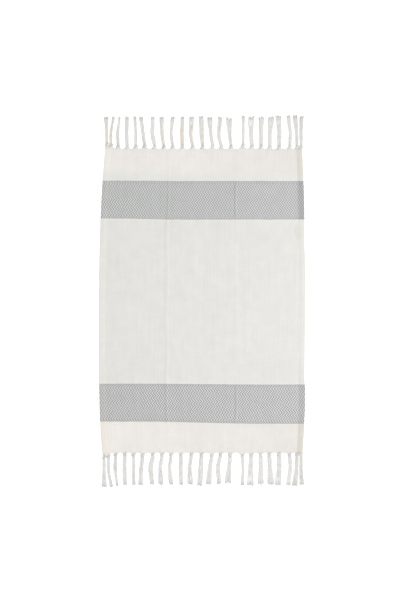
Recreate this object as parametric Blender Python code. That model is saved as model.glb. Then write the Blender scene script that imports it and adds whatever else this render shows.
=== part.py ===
"""Kitchen towel: one woven cotton panel with a knotted fringe along each end.

Run it with  blender --background --python part.py  or from Blender's text editor.

Units are metres and +Z is up. The towel lies face up: X runs across the cloth from selvedge to
selvedge, Y runs along the warp from the foot fringe to the head fringe. The origin is on the
surface that the towel lies on, under the middle of the whole towel.

Three solids, 0.3 mm apart:
  towel_cloth   the panel with its two side hems, drawn in where the fringes are tied
  fringe_head   one comb: the gathered warp ends past the last weft, their knots and cut brushes
  fringe_foot   the same at the other end
"""

import math

import bmesh
import bpy

MM = 0.001

# The panel.
CLOTH_WIDTH = 0.500  # at its widest, between the fringes
CLOTH_THICK = 0.0016
EDGE_THICK = 0.0010  # the sheet is rounded off at its outer edge
HEM_WIDTH = 0.0135  # each long side is turned under twice and stitched
HEM_THICK = 0.0026
HEM_STEP = 0.0015  # the hem's inner edge slopes down over this width

# Tying the fringe draws the corners in, so the sides bow.
WIDEST_AT_Y = -0.030
BOW_POWER = 2.4
DRAWN_IN = {"left": {"head": 0.0145, "foot": 0.0085}, "right": {"head": 0.0060, "foot": 0.0060}}

# Two grey bands, woven across the cloth.
BANDS_Y = ((-0.295, -0.202), (0.197, 0.289))

# The towel was folded in three lengthwise, which leaves a soft ridge along each fold.
CREASE_SHARES = (0.328, 0.665)  # of the width, from the left side
CREASE_HEIGHT = 0.0012
CREASE_HALF_WIDTH = 0.009
CREASE_WANDER = 0.0020
CREASE_WAVES = 2.5

ROW_SPACING = 0.046

# Each end: the way it points, the last weft, the line of the knots and the line of the cut.
ENDS = {
    "head": {"way": 1, "cloth_end": 0.3650, "knots": 0.3742, "cut": 0.4450, "drift": 0.0},
    "foot": {"way": -1, "cloth_end": 0.3625, "knots": 0.3698, "cut": 0.4425, "drift": -0.0068},
}
DRIFT_POWER = 1.5  # the foot knots sit further out to the left, less and less towards the right
GAP = 0.0003
HEADING_DEPTH = 0.0025
HEADING_THICK = 0.0015
TENT_MARGIN = 0.0006  # half of the straight edge left between two gathered groups

# One tassel: a tied bundle. Widths lie along X, thicknesses along Z.
NECK_WIDTH, NECK_THICK = 0.0042, 0.0032
KNOT_WIDTH, KNOT_THICK, KNOT_LENGTH = 0.0072, 0.0060, 0.0056
BODY_THICK = 0.0040
BODY_WIDTH, BODY_PER_FLARE = 0.0056, 0.25
TIP_THICK = 0.0026
MID_SHARE, FLARE_SHARE = 0.45, 0.88  # how far along the loose length the body and brush begin

# A row for each tassel, from left to right, in millimetres.
#   knot      where its knot sits across the towel, at the head
#   mid, tip  how far the middle and the cut end lean from the knot
#   flare     width of the cut brush
#   out       how far the knot sits outside the line of knots
#   head, foot  how far the cut end passes the cut line at each end
TASSEL_COLUMNS = ("knot", "mid", "tip", "flare", "out", "head", "foot")
TASSEL_ROWS = (
    (-231.0, 0.0, -0.5, 14.0, 7.0, 0.0, 6.0),
    (-220.5, 0.0, 6.5, 7.0, 4.5, 0.0, 5.5),
    (-203.5, -1.0, 3.0, 4.5, 1.0, 0.5, 3.0),
    (-181.5, -1.0, -0.5, 7.0, -0.5, 0.0, 0.5),
    (-161.0, 0.5, -1.0, 8.0, 0.5, 0.0, 0.0),
    (-138.5, -4.0, -8.0, 7.0, 2.0, 0.0, 1.0),
    (-114.0, -6.0, -5.0, 7.0, 0.5, 0.0, -1.0),
    (-93.0, -4.0, -4.5, 10.5, 0.0, -0.5, -0.5),
    (-70.0, -5.0, -2.5, 9.5, 0.5, 0.5, -0.5),
    (-48.0, -1.0, -0.5, 9.5, 0.0, 0.5, 0.0),
    (-23.0, -4.5, -4.0, 10.5, 0.0, 0.5, -0.5),
    (0.5, -2.0, -4.0, 9.0, 0.0, 1.5, 2.5),
    (25.5, -5.0, -9.5, 15.5, 3.0, -1.0, -0.5),
    (46.5, -6.5, -4.0, 12.0, -0.5, -1.5, -2.0),
    (69.5, -3.5, -6.5, 13.0, 0.0, -2.0, -3.0),
    (98.0, 1.0, 0.0, 5.0, 3.0, 1.5, 1.0),
    (120.0, -2.0, -3.0, 16.0, 1.0, 1.0, 2.0),
    (143.5, -2.0, -1.0, 14.0, 0.0, 0.5, 0.0),
    (163.5, 0.5, 2.5, 17.0, -0.5, 0.5, -0.5),
    (186.5, -0.5, -3.0, 12.5, -0.5, 3.0, 2.0),
    (212.0, 0.5, -3.5, 11.5, 0.5, 3.0, 2.0),
    (230.0, -1.0, -5.5, 10.5, 0.0, 3.5, 3.0),
    (239.5, 0.0, 1.0, 8.5, -0.5, 2.0, 1.0),
)
TASSELS = [dict(zip(TASSEL_COLUMNS, row)) for row in TASSEL_ROWS]


def clear_scene():
    for old in list(bpy.data.objects):
        bpy.data.objects.remove(old, do_unlink=True)


def cotton(name, colour, roughness):
    """A plain Principled material for one part."""
    material = bpy.data.materials.new(name)
    material.use_nodes = True
    shader = material.node_tree.nodes["Principled BSDF"]
    shader.inputs["Base Color"].default_value = (*colour, 1.0)
    shader.inputs["Roughness"].default_value = roughness
    shader.inputs["Metallic"].default_value = 0.0
    return material


def add_object(name, bm, materials):
    """Turns the bmesh into one object whose faces point outwards."""
    bmesh.ops.recalc_face_normals(bm, faces=bm.faces)
    mesh = bpy.data.meshes.new(name)
    bm.to_mesh(mesh)
    bm.free()
    for material in materials:
        mesh.materials.append(material)
    made = bpy.data.objects.new(name, mesh)
    bpy.context.scene.collection.objects.link(made)
    return made


# ---- the panel ----


def side_x(side, y):
    """Where the left or right side of the cloth lies at this y."""
    end = "head" if y > WIDEST_AT_Y else "foot"
    to_end = ENDS[end]["way"] * ENDS[end]["cloth_end"] - WIDEST_AT_Y
    share = (y - WIDEST_AT_Y) / to_end
    half = CLOTH_WIDTH / 2 - DRAWN_IN[side][end] * share**BOW_POWER
    return -half if side == "left" else half


def crease_x(share, y):
    """The fold's own line: it follows the warp and wanders a little."""
    left, right = side_x("left", y), side_x("right", y)
    turn = 2 * math.pi * CREASE_WAVES * y / CLOTH_WIDTH
    return left + share * (right - left) + CREASE_WANDER * math.sin(turn + share)


def crease_height(share, y):
    """The ridge stands a little higher in some stretches than in others."""
    turn = 2 * math.pi * y / CLOTH_WIDTH
    return CREASE_HEIGHT * (0.8 + 0.2 * math.cos(turn + 3 * share))


def ridge(offset):
    """A soft ridge, from 1 on its line to 0 at its half width."""
    return 0.5 + 0.5 * math.cos(math.pi * min(abs(offset) / CREASE_HALF_WIDTH, 1.0))


def column_at(y):
    """(x, z below, z above) of each column of points across the cloth at this y."""
    left, right = side_x("left", y), side_x("right", y)
    points = []
    for side, inwards in ((left, 1), (right, -1)):
        points += [
            (side, 0.0, EDGE_THICK),
            (side + inwards * HEM_STEP, 0.0, HEM_THICK),
            (side + inwards * (HEM_WIDTH - HEM_STEP), 0.0, HEM_THICK),
            (side + inwards * HEM_WIDTH, 0.0, CLOTH_THICK),
        ]
    for share in CREASE_SHARES:
        for part in (-1.0, -0.5, 0.0, 0.5, 1.0):
            offset = part * CREASE_HALF_WIDTH
            lift = ridge(offset) * crease_height(share, y)
            points.append((crease_x(share, y) + offset, lift, lift + CLOTH_THICK))
    points.append(((left + right) / 2, 0.0, CLOTH_THICK))
    return sorted(points)


def row_positions():
    """The rows lie evenly between the cloth's ends and the edges of the bands."""
    marks = [-ENDS["foot"]["cloth_end"], *BANDS_Y[0], *BANDS_Y[1], ENDS["head"]["cloth_end"]]
    rows = [marks[0]]
    for low, high in zip(marks, marks[1:]):
        steps = math.ceil((high - low) / ROW_SPACING)
        rows += [low + (high - low) * step / steps for step in range(1, steps + 1)]
    return rows


def in_band(y):
    return any(low < y < high for low, high in BANDS_Y)


def add_cloth():
    bm = bmesh.new()
    rows = row_positions()
    below, above = [], []
    for y in rows:
        points = column_at(y)
        below.append([bm.verts.new((x, y, low)) for x, low, _ in points])
        above.append([bm.verts.new((x, y, high)) for x, _, high in points])
    columns = len(above[0])
    for j in range(len(rows) - 1):
        band = in_band((rows[j] + rows[j + 1]) / 2)
        faces = []
        for layer in (below, above):
            for i in range(columns - 1):
                ring = (layer[j][i], layer[j][i + 1], layer[j + 1][i + 1], layer[j + 1][i])
                faces.append(bm.faces.new(ring))
        for i in (0, columns - 1):
            faces.append(bm.faces.new((below[j][i], below[j + 1][i], above[j + 1][i], above[j][i])))
        for face in faces:
            face.material_index = 1 if band else 0
    for j in (0, len(rows) - 1):
        for i in range(columns - 1):
            bm.faces.new((below[j][i], below[j][i + 1], above[j][i + 1], above[j][i]))
    plain = cotton("cotton_off_white", (0.79, 0.78, 0.75), 0.95)
    grey = cotton("cotton_grey_twill", (0.52, 0.52, 0.52), 0.95)
    return add_object("towel_cloth", bm, (plain, grey))


# ---- the fringes ----


def knot_x(tassel, end):
    """The foot's knots sit a little further left than the head's."""
    across = 0.5 + tassel["knot"] * MM / CLOTH_WIDTH
    return tassel["knot"] * MM + end["drift"] * (1 - across) ** DRIFT_POWER


def section(x, y, width, thick):
    """Six corners of a bundle that lies on the surface: flat below, full above."""
    shape = ((-0.70, 0.0), (0.70, 0.0), (1.0, 0.45), (0.60, 1.0), (-0.60, 1.0), (-1.0, 0.45))
    return [(x + side * width / 2, y, up * thick) for side, up in shape]


def tassel_sections(tassel, end_name):
    """The bundle's sections from the gathered cloth out to its cut end."""
    end = ENDS[end_name]
    way = end["way"]
    x = knot_x(tassel, end)
    knot = end["knots"] + tassel["out"] * MM
    cut = end["cut"] + tassel[end_name] * MM
    body = BODY_WIDTH + BODY_PER_FLARE * tassel["flare"] * MM
    root = knot + KNOT_LENGTH / 2
    middle = root + MID_SHARE * (cut - root)
    brush = root + FLARE_SHARE * (cut - root)
    x_middle, x_tip = x + tassel["mid"] * MM, x + tassel["tip"] * MM
    lean = (FLARE_SHARE - MID_SHARE) / (1 - MID_SHARE)
    x_brush = x_middle + lean * (x_tip - x_middle)
    flare = tassel["flare"] * MM
    steps = (
        (x, knot - KNOT_LENGTH / 2, NECK_WIDTH, NECK_THICK),
        (x, knot - KNOT_LENGTH / 5, KNOT_WIDTH, KNOT_THICK),
        (x, knot + KNOT_LENGTH / 5, KNOT_WIDTH, KNOT_THICK),
        (x, root, NECK_WIDTH, NECK_THICK),
        (x + 0.55 * (x_middle - x), (root + middle) / 2, body, BODY_THICK),
        (x_middle, middle, body, BODY_THICK),
        (x_brush, brush, max(body, 0.75 * flare), BODY_THICK * 0.8),
        (x_tip, cut, flare, TIP_THICK),
    )
    return [section(at, way * far, width, thick) for at, far, width, thick in steps]


def group_limits(end_name):
    """How the cloth's width is shared out: each group of warp ends reaches halfway to the next."""
    end = ENDS[end_name]
    y = end["way"] * end["cloth_end"]
    knots = [knot_x(tassel, end) for tassel in TASSELS]
    halfway = [(a + b) / 2 for a, b in zip(knots, knots[1:])]
    return [side_x("left", y), *halfway, side_x("right", y)]


def bridge(bm, ring, following):
    """Walls between one section and the next."""
    count = len(ring)
    for i in range(count):
        k = (i + 1) % count
        bm.faces.new((ring[i], ring[k], following[k], following[i]))


def add_fringe(end_name):
    """A heading strip along the cloth's edge, out of whose front every tassel grows."""
    end = ENDS[end_name]
    way = end["way"]
    back = way * (end["cloth_end"] + GAP)
    front = way * (end["cloth_end"] + GAP + HEADING_DEPTH)
    limits = group_limits(end_name)
    stops = [limits[0]]
    for low, high in zip(limits, limits[1:]):
        stops += [low + TENT_MARGIN, high - TENT_MARGIN]
    stops.append(limits[-1])
    bm = bmesh.new()
    heights = (0.0, HEADING_THICK * 0.45, HEADING_THICK)
    rear = [[bm.verts.new((x, back, z)) for z in (0.0, HEADING_THICK)] for x in stops]
    face = [[bm.verts.new((x, front, z)) for z in heights] for x in stops]
    for i in range(len(stops) - 1):
        (r0, r1), (s0, s1) = rear[i], rear[i + 1]
        (a0, a1, a2), (b0, b1, b2) = face[i], face[i + 1]
        bm.faces.new((r0, s0, s1, r1))
        bm.faces.new((r0, s0, b0, a0))
        bm.faces.new((r1, s1, b2, a2))
        if i % 2 == 0:  # the short straight edge between two groups
            bm.faces.new((a0, b0, b1, b2, a2, a1))
    for (low, high), (a0, a1, a2) in ((rear[0], face[0]), (rear[-1], face[-1])):
        bm.faces.new((low, a0, a1, a2, high))
    for number, tassel in enumerate(TASSELS):
        (a0, a1, a2), (b0, b1, b2) = face[2 * number + 1], face[2 * number + 2]
        ring = [a0, b0, b1, b2, a2, a1]
        for points in tassel_sections(tassel, end_name):
            following = [bm.verts.new(point) for point in points]
            bridge(bm, ring, following)
            ring = following
        bm.faces.new(ring)
    yarn = cotton(f"cotton_yarn_{end_name}", (0.72, 0.71, 0.68), 0.95)
    return add_object(f"fringe_{end_name}", bm, (yarn,))


def main():
    clear_scene()
    add_cloth()
    for end_name in ENDS:
        add_fringe(end_name)


main()
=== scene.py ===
# %% [markdown]
# # A kitchen towel with knotted fringes
#
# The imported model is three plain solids: a cloth, and a comb-shaped fringe along each end. This
# lesson lays the real textile in their place: a handwoven panel with two zigzag bands, folded side
# hems with their stitches, and forty-six tied tassels of separate yarns. The first cell loads the
# solids as a fixed frame. Nothing here moves them, and every piece is placed from their sizes.

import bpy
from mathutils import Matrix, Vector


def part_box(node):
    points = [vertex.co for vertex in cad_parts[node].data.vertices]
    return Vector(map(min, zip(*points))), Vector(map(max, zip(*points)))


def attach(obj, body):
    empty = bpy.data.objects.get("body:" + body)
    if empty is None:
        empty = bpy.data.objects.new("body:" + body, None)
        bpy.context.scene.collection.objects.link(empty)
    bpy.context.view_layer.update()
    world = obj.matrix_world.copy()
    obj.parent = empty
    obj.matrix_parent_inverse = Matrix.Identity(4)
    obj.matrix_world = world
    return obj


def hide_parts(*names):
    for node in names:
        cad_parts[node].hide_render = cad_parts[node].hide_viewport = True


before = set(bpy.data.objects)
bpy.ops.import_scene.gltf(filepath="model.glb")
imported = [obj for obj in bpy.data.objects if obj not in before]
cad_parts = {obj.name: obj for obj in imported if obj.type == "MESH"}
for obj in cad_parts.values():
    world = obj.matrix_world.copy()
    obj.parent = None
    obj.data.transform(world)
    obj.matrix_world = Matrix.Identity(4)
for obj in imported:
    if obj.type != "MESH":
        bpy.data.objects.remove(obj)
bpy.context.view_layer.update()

# %% What the lesson uses
import math

import bpy
import numpy as np

# %% [markdown]
# ## Small tools
#
# Shader trees and geometry trees are built the same way, so one helper adds every node. Colours are
# written as sRGB hex values, as on a shade card, and one function turns them to linear numbers.

# %% Short names for the nodes used most, and their usual settings
NODES = {
    "blend": ("ShaderNodeMix", {"data_type": "RGBA"}),
    "range": ("ShaderNodeMapRange", {}),
    "noise": ("ShaderNodeTexNoise", {"noise_dimensions": "2D"}),
    "luck": ("ShaderNodeTexWhiteNoise", {"noise_dimensions": "1D"}),
    "seen": ("ShaderNodeAttribute", {}),
    "bump": ("ShaderNodeBump", {}),
    "split": ("ShaderNodeSeparateXYZ", {}),
    "join": ("ShaderNodeCombineXYZ", {}),
    "read": ("GeometryNodeInputNamedAttribute", {}),
    "store": ("GeometryNodeStoreNamedAttribute", {}),
    "here": ("GeometryNodeInputPosition", {}),
    "tangent": ("GeometryNodeInputTangent", {}),
    "share": ("GeometryNodeSplineParameter", {}),
    "line": ("GeometryNodeCurvePrimitiveLine", {}),
    "circle": ("GeometryNodeCurvePrimitiveCircle", {}),
    "to curve": ("GeometryNodeMeshToCurve", {}),
    "points": ("GeometryNodeResampleCurve", {}),
    "copy": ("GeometryNodeDuplicateElements", {"domain": "SPLINE"}),
    "move": ("GeometryNodeSetPosition", {}),
    "turn": ("FunctionNodeAlignRotationToVector", {}),
    "tube": ("GeometryNodeCurveToMesh", {}),
    "set on": ("GeometryNodeInstanceOnPoints", {}),
}

# %% A helper that adds a node
def fill(tree, socket, value):
    """Gives a socket its value, or a link from another socket or a node's first shown output."""
    if isinstance(value, bpy.types.Node):
        value = next(output for output in value.outputs if output.enabled)
    if isinstance(value, bpy.types.NodeSocket):
        tree.links.new(value, socket)
    else:
        socket.default_value = value


def add(tree, kind, *inputs, **settings):
    """Adds a node. kind is its type, a short name, or the operation of a math node in capitals.
    The inputs fill its shown sockets in turn; a dict at the end fills the sockets that it names."""
    if kind.isupper():
        settings["operation"] = kind.removeprefix("VECTOR_")
        kind = "ShaderNodeVectorMath" if kind.startswith("VECTOR_") else "ShaderNodeMath"
    kind, usual = NODES.get(kind, (kind, {}))
    made = tree.nodes.new(kind)
    for name, value in {**usual, **settings}.items():
        setattr(made, name, value)
    shown = [socket for socket in made.inputs if socket.enabled]
    *in_turn, named = inputs if inputs and isinstance(inputs[-1], dict) else (*inputs, {})
    for socket, value in zip(shown, in_turn):
        fill(tree, socket, value)
    for name, value in named.items():
        fill(tree, next(socket for socket in shown if socket.name == name), value)
    return made

# %% Helpers for materials and objects
def linear(colour):
    """An sRGB hex colour as linear red, green, blue and alpha."""
    parts = [int(colour[place : place + 2], 16) / 255 for place in (1, 3, 5)]
    return [p / 12.92 if p <= 0.04045 else ((p + 0.055) / 1.055) ** 2.4 for p in parts] + [1.0]


def new_material(name):
    """A material of this name and its tree of nodes."""
    made = bpy.data.materials.new(name)
    made.use_nodes = True
    return made, made.node_tree


def surface(tree, values):
    """Fills the named sockets of a material's surface shader."""
    for name, value in values.items():
        fill(tree, tree.nodes["Principled BSDF"].inputs[name], value)


def put_in_scene(name, data):
    """A mesh, light or camera as an object of the scene."""
    made = bpy.data.objects.new(name, data)
    bpy.context.scene.collection.objects.link(made)
    return made

# %% [markdown]
# ## The towel's sizes
#
# The width and the ends of the cloth come from the frame. The rest are a weaver's numbers: how far
# apart the threads lie, how thick a yarn is, how wide the hems are, where the coloured weft starts
# and stops. A hand-tied fringe draws the corners in, so the long sides bow a little.

# %% Sizes of the cloth
MM = 0.001
cloth_low, cloth_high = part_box("towel_cloth")
WIDTH = cloth_high.x - cloth_low.x
WARP_PITCH, WEFT_PITCH = 1.64 * MM, 1.61 * MM  # about six threads to the centimetre
YARN, CLOTH_THICK, HEM_THICK = 1.15 * MM, 1.6 * MM, 2.3 * MM
HEM_WIDTH = 13.5 * MM
WIDEST_AT_Y = -30.0 * MM
# How far the sides are drawn in at the head and at the foot, and how late they start to bow.
DRAWN_IN = {"left": (14.5 * MM, 7.8 * MM), "right": (7.4 * MM, 6.0 * MM)}
BOW_POWERS = {"left": (2.4, 4.0), "right": (2.4, 2.4)}
SELVEDGE_WAVE = {  # place along the warp, and how many mm the right side stands out there
    -0.345: 0.0, -0.315: 1.1, -0.290: 0.8, -0.265: 1.7, -0.210: 0.7, -0.180: -1.2, -0.120: -0.6,
    0.0: 0.3, 0.030: 1.0, 0.080: 0.9, 0.105: 0.0, 0.160: -1.2, 0.220: 0.0,
}
BANDS = ((-0.2965, -0.2023), (0.1967, 0.2903))  # grey weft, along the warp
print(f"cloth {WIDTH * 1000:.0f} mm wide, {WIDTH / WARP_PITCH:.0f} warp threads")

# %% [markdown]
# ## Where every tassel is tied
#
# The weaver counts off some warp ends, ties them in an overhand knot close to the last weft, and
# cuts the brush. No two groups come out alike, so each tassel has a row of sizes. The same hands
# tied both ends, and the foot's tassels lie nearly as the head's do.

# %% The two ends of the towel
# corner, last_weft, knots and cut are distances from the middle of the towel, in metres. drift is how
# far the knots stray sideways. fullness, flaring and sways act on widths and leans of the tassels.
ENDS = {
    "head": {
        "way": 1, "corner": cloth_high.y, "last_weft": 0.3690, "knots": 0.3733, "cut": 0.4464,
        "drift": 0.0, "fullness": 1.27, "flaring": 0.99, "sways": 0.0,
    },
    "foot": {
        "way": -1, "corner": -cloth_low.y, "last_weft": 0.3667, "knots": 0.3706, "cut": 0.4433,
        "drift": -0.0068, "fullness": 1.37, "flaring": 1.09, "sways": 1.0,
    },
}
DRIFT_POWER = 1.5
KNOT_LENGTH = 5.6 * MM

# %% A row for each tassel, from left to right, in millimetres
# knot: its place across the towel. mid, tip: how far the middle and the cut end lean from it. sway:
# how far the foot's cut end leans back. body, flare: widths of the tassel and of its brush. out: how
# far the knot sits outside the line of knots. head, foot: how far the cut end passes the cut line.
TASSEL_COLUMNS = ("knot", "mid", "tip", "sway", "body", "flare", "out", "head", "foot")
TASSEL_ROWS = (
    (-231, 0, -1.5, 1.8, 6.3, 10.5, 7, 0, 6), (-220.5, 0, 5.5, 1, 6.2, 6.5, 4.5, 0, 5.5),
    (-203.5, -1, 3.5, 0.3, 7.4, 5.2, 1, 0.5, 3), (-181.5, -1, -0.7, 1, 7.8, 8.5, -0.5, 0, 0.5),
    (-161, 0.5, -1.5, 2.4, 6.6, 7.5, 0.5, 0, 0), (-139.5, -3.4, -8.4, 3.6, 7.6, 9.5, 2, 0, 1),
    (-115, -5.5, -4.6, 2.4, 8.6, 8.8, 0.5, 0, -1), (-93, -4, -5.2, 2.2, 7.6, 10, 0, -0.5, -0.5),
    (-71.5, -3.5, 0.6, -0.7, 6.8, 10, 0.5, 0.5, -0.5), (-48, -1, 0.8, -0.5, 8, 8.5, 0, 0.5, 0),
    (-23, -4.5, -2.8, -0.5, 7.8, 11.5, 0, 0.5, -0.5), (1, -2, -3, -1.5, 9, 10.5, 0, 1.5, 2.5),
    (25.5, -4.6, -7.2, -0.6, 8, 12.5, 3, -1, -0.5), (46.5, -6.5, -3.3, -0.6, 8, 9.5, -0.5, -1.5, -2),
    (69.5, -2.7, -4.3, -1.2, 7.9, 13, 0, -2, -3), (99, 1, 0.2, -1, 5.5, 6.8, 4, 1.5, 1),
    (120, -1.6, -1, -1.2, 9.4, 14.5, 1, 1, 2), (142.5, 0, 0.7, -0.5, 8.4, 13.5, 0, 0.5, 0),
    (163.5, 0.7, 4, -0.5, 8.7, 14, -0.5, 0.5, -0.5), (186.5, 0.5, -2.2, -0.4, 9.8, 12.5, -0.5, 3, 2),
    (212, 1.5, -2.8, -0.2, 7.6, 9.5, 0.5, 3, 2), (229.5, -1, -4.8, -0.6, 6.9, 11.5, 0, 3.5, 3),
    (239.5, 0, 1.3, 0.7, 6.8, 9.3, -0.5, 2, 1),
)
TASSELS = [
    {column: value * MM for column, value in zip(TASSEL_COLUMNS, row)} for row in TASSEL_ROWS
]
print(len(TASSELS), "tassels at each end")

# %% Tassels that differ, by their number from the left
PARTED = {12: (0.4, 0.0), 14: (0.1, 0.2), 15: (0.2, 0.6), 23: (0.1, 0.2)}  # mm at middle and tip
GREYER = {16: 0.4, 22: 0.5, 23: 0.5}  # groups drawn darker than the others
CREAM = {  # groups with creamier yarn; 1 would be fully cream
    "head": {1: 0.45, 2: 0.5, 8: 0.35, 10: 0.8, 11: 0.45, 12: 0.4, 18: 0.3, 19: 0.15},
    "foot": {14: 0.1, 19: 0.1, 22: 0.15, 23: 0.15},
}

# %% [markdown]
# ## The outline
#
# The outline is worked out and not drawn: the two sides are bowed lines, and each end is pulled out
# to a small tent under every knot. All of these take whole arrays, so one call places a row.

# %% Sides of the cloth
def smooth(value):
    """A soft ramp from 0 to 1."""
    value = np.clip(value, 0.0, 1.0)
    return value * value * (3 - 2 * value)


def told_at(table, y):
    """Reads between the rows of a table of places and millimetres."""
    return np.interp(y, [*table], [*table.values()]) * MM


def side_x(side, y):
    """Where the left or right side of the cloth lies at this distance along the warp."""
    corners = (end["way"] * end["corner"] for end in ENDS.values())
    corner, drawn, power = (
        np.where(y > WIDEST_AT_Y, *pair) for pair in (corners, DRAWN_IN[side], BOW_POWERS[side])
    )
    share = np.clip((y - WIDEST_AT_Y) / (corner - WIDEST_AT_Y), 0.0, None)
    half = WIDTH / 2 - drawn * share**power
    if side == "left":
        return -half
    return np.minimum(half + told_at(SELVEDGE_WAVE, y), WIDTH / 2)  # the widest place may not grow

# %% Groups of warp ends
def knots_of(end):
    """Where the knots sit across the towel; the foot's drift to the left."""
    at = np.array([tassel["knot"] for tassel in TASSELS])
    return at + end["drift"] * (0.5 - at / WIDTH) ** DRIFT_POWER


def limits_of(end):
    """Each group reaches halfway to the next, and the outer ones to the corners."""
    knots, y = knots_of(end), end["way"] * end["corner"]
    return np.array([side_x("left", y), *(knots[1:] + knots[:-1]) / 2, side_x("right", y)])

# %% Tents under the knots
TENT_TOP = 2.5 * MM  # half the width of a group at its knot
TENT_POWER = 1.5  # above 1, so the edge hangs in between two knots
SHARED_PULL = 0.75  # two knots that both sit far out carry the edge between them along


def tent(x, end):
    """How far the last weft is pulled out, how near the knot is, from 0 to 1, and the way to it."""
    knots, limits = knots_of(end), limits_of(end)
    outs = np.array([tassel["out"] for tassel in TASSELS])
    carried = SHARED_PULL * np.minimum(outs[1:], outs[:-1]).clip(0)
    between = np.array([outs[0] / 2, *carried, outs[-1].clip(0) / 2])
    group = np.clip(np.searchsorted(limits, x) - 1, 0, len(knots) - 1)
    border = group + (x >= knots[group])
    peak = end["knots"] + outs[group] - end["last_weft"]
    from_top, whole = (np.abs(at - knots[group]) - TENT_TOP for at in (x, limits[border]))
    near = 1 - np.clip(from_top / whole, 0.0, 1.0)
    base = between[border]
    return base + (peak - base) * near**TENT_POWER, near, knots[group] - x

# %% [markdown]
# ## How the cloth lies
#
# A washed towel that was folded in three and laid out is nearly flat, but not quite. It keeps a soft
# ridge along each fold, a shallow valley beside one, a slanting dent where it was held, and low
# waves all over. The hems pucker between their stitches. A cloth simulation would flatten all of
# this again, so the rise is a sum of simple formulas, one for each thing the hand can feel.

# %% Folds and waves
WAVE_HEIGHT = 1.1 * MM
WAVE_LENGTHS = (0.062, 0.078, 0.097, 0.125, 0.160, 0.210)
CREASES = (  # share of the width, then height and half width: on the bands, between, at the ends
    (0.3275, (1.15 * MM, 4.4 * MM), (0.80 * MM, 7.0 * MM), (0.30 * MM, 7.5 * MM)),
    (0.6640, (2.10 * MM, 3.9 * MM), (0.15 * MM, 5.5 * MM), (0.14 * MM, 7.5 * MM)),
)
CREASE_FADE = 8.0 * MM
CREASE_WANDER, CREASE_BEND = 1.0 * MM, 0.031  # how far a fold strays, and over what length


def waves(x, y):
    """Low waves from six directions, between -1 and 1."""
    draw = np.random.default_rng(11)
    total = 0.0
    for length in WAVE_LENGTHS:
        turn, start = draw.uniform(0, 2 * math.pi, 2)
        along = x * math.cos(turn) + y * math.sin(turn)
        total = total + length * np.sin(2 * math.pi * along / length + start)
    return total / sum(WAVE_LENGTHS)


def ridge(offset, half_width):
    """A rounded ridge, 1 on its line and 0 from its half width on."""
    return 0.5 + 0.5 * np.cos(math.pi * np.clip(np.abs(offset) / half_width, 0, 1))

# %% Rise of the folds
def fold_rise(share, y):
    """Height of the fold ridges: they stand up sharply on the dense bands and are soft elsewhere."""
    lowest, highest = BANDS[0][0], BANDS[-1][1]
    on_bands = sum(
        smooth((y - low) / CREASE_FADE) * smooth((high - y) / CREASE_FADE) for low, high in BANDS
    )
    at_ends = smooth((lowest - y) / CREASE_FADE) + smooth((y - highest) / CREASE_FADE)
    rise = 0.0
    for at, *sizes in CREASES:
        offset = (share - at) * WIDTH + CREASE_WANDER * np.sin(y / CREASE_BEND + 9 * at)
        height, half_width = (
            middle + (dense - middle) * on_bands + (last - middle) * at_ends
            for dense, middle, last in zip(*sizes)
        )
        rise = rise + height * ridge(offset, half_width)
    return rise

# %% Rise of the cloth above the table
DENT_ENDS, DENT_HALF_WIDTH, DENT_HEIGHT = ((-0.066, 0.120), (0.050, 0.012)), 0.030, 0.9 * MM
VALLEY_SHARE, VALLEY_HALF_WIDTH, VALLEY_DEPTH, VALLEY_REACH = 0.690, 13 * MM, 0.45 * MM, 0.120
PUCKER_HEIGHT, PUCKER_REACH, PUCKER_LENGTHS = 0.25 * MM, 9 * MM, (0.0041, 0.027)
LEAST_RISE = 0.5 * MM
WAVES_HELD, FOLDS_HELD = 0.75, 0.6  # the share that the knots press flat at each end


def dent(x, y):
    """A slanting soft fold left of the middle."""
    (x0, y0), (x1, y1) = DENT_ENDS
    length = math.hypot(x1 - x0, y1 - y0)
    along = ((x - x0) * (x1 - x0) + (y - y0) * (y1 - y0)) / length**2
    off = ((x - x0) * (y1 - y0) - (y - y0) * (x1 - x0)) / length
    return ridge(off, DENT_HALF_WIDTH) * ridge(along - 0.5, 0.75)


def lift(share, x, y, near_end):
    """How far the under side of the cloth is off the table."""
    from_side = np.minimum(share, 1 - share) * WIDTH
    short, long = (y / length for length in PUCKER_LENGTHS)
    pucker = np.sin(short + 2 * np.sin(long)) * np.exp(-from_side / PUCKER_REACH)
    valley = ridge((share - VALLEY_SHARE) * WIDTH, VALLEY_HALF_WIDTH)
    valley = valley * smooth(1.6 - np.abs(y) / VALLEY_REACH)
    rise = WAVE_HEIGHT * (0.5 + 0.5 * waves(x, y)) + PUCKER_HEIGHT * (1 + pucker)
    rise = rise + LEAST_RISE - VALLEY_DEPTH * valley + DENT_HEIGHT * dent(x, y)
    folds = fold_rise(share, y) * (1 - FOLDS_HELD * near_end)
    return np.maximum(rise * (1 - WAVES_HELD * near_end) + folds, 0.0)

# %% [markdown]
# ## One function that lays the cloth
#
# Every point of the towel has two numbers: its share of the width, and its distance along the warp
# as it was woven. One function turns them to a place on the table. The panel, the stitches and the
# yarns all ask it, so they always meet. It also carries the weft's slant: at the left the picks were
# beaten a few millimetres higher, most of all at the lower band.

# %% Slant of the weft
# In millimetres at the left side, by place along the warp. It starts and is full at these shares of
# the width, counted from the right side: the first of each pair at the head, the second at the foot.
SLANT = {-0.366: 0.4, -0.297: 5.3, -0.202: 2.1, 0.0: 0.0, 0.197: 2.7, 0.289: 0.9, 0.368: 0.3}
SLANT_FROM, SLANT_TO = (0.60, 0.20), (0.95, 0.80)


def slant(share, along):
    """How much higher than at the right side a pick lies here."""
    low, high = (np.where(along > 0, *pair) for pair in (SLANT_FROM, SLANT_TO))
    return told_at(SLANT, along) * smooth((1 - share - low) / (high - low))

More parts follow.
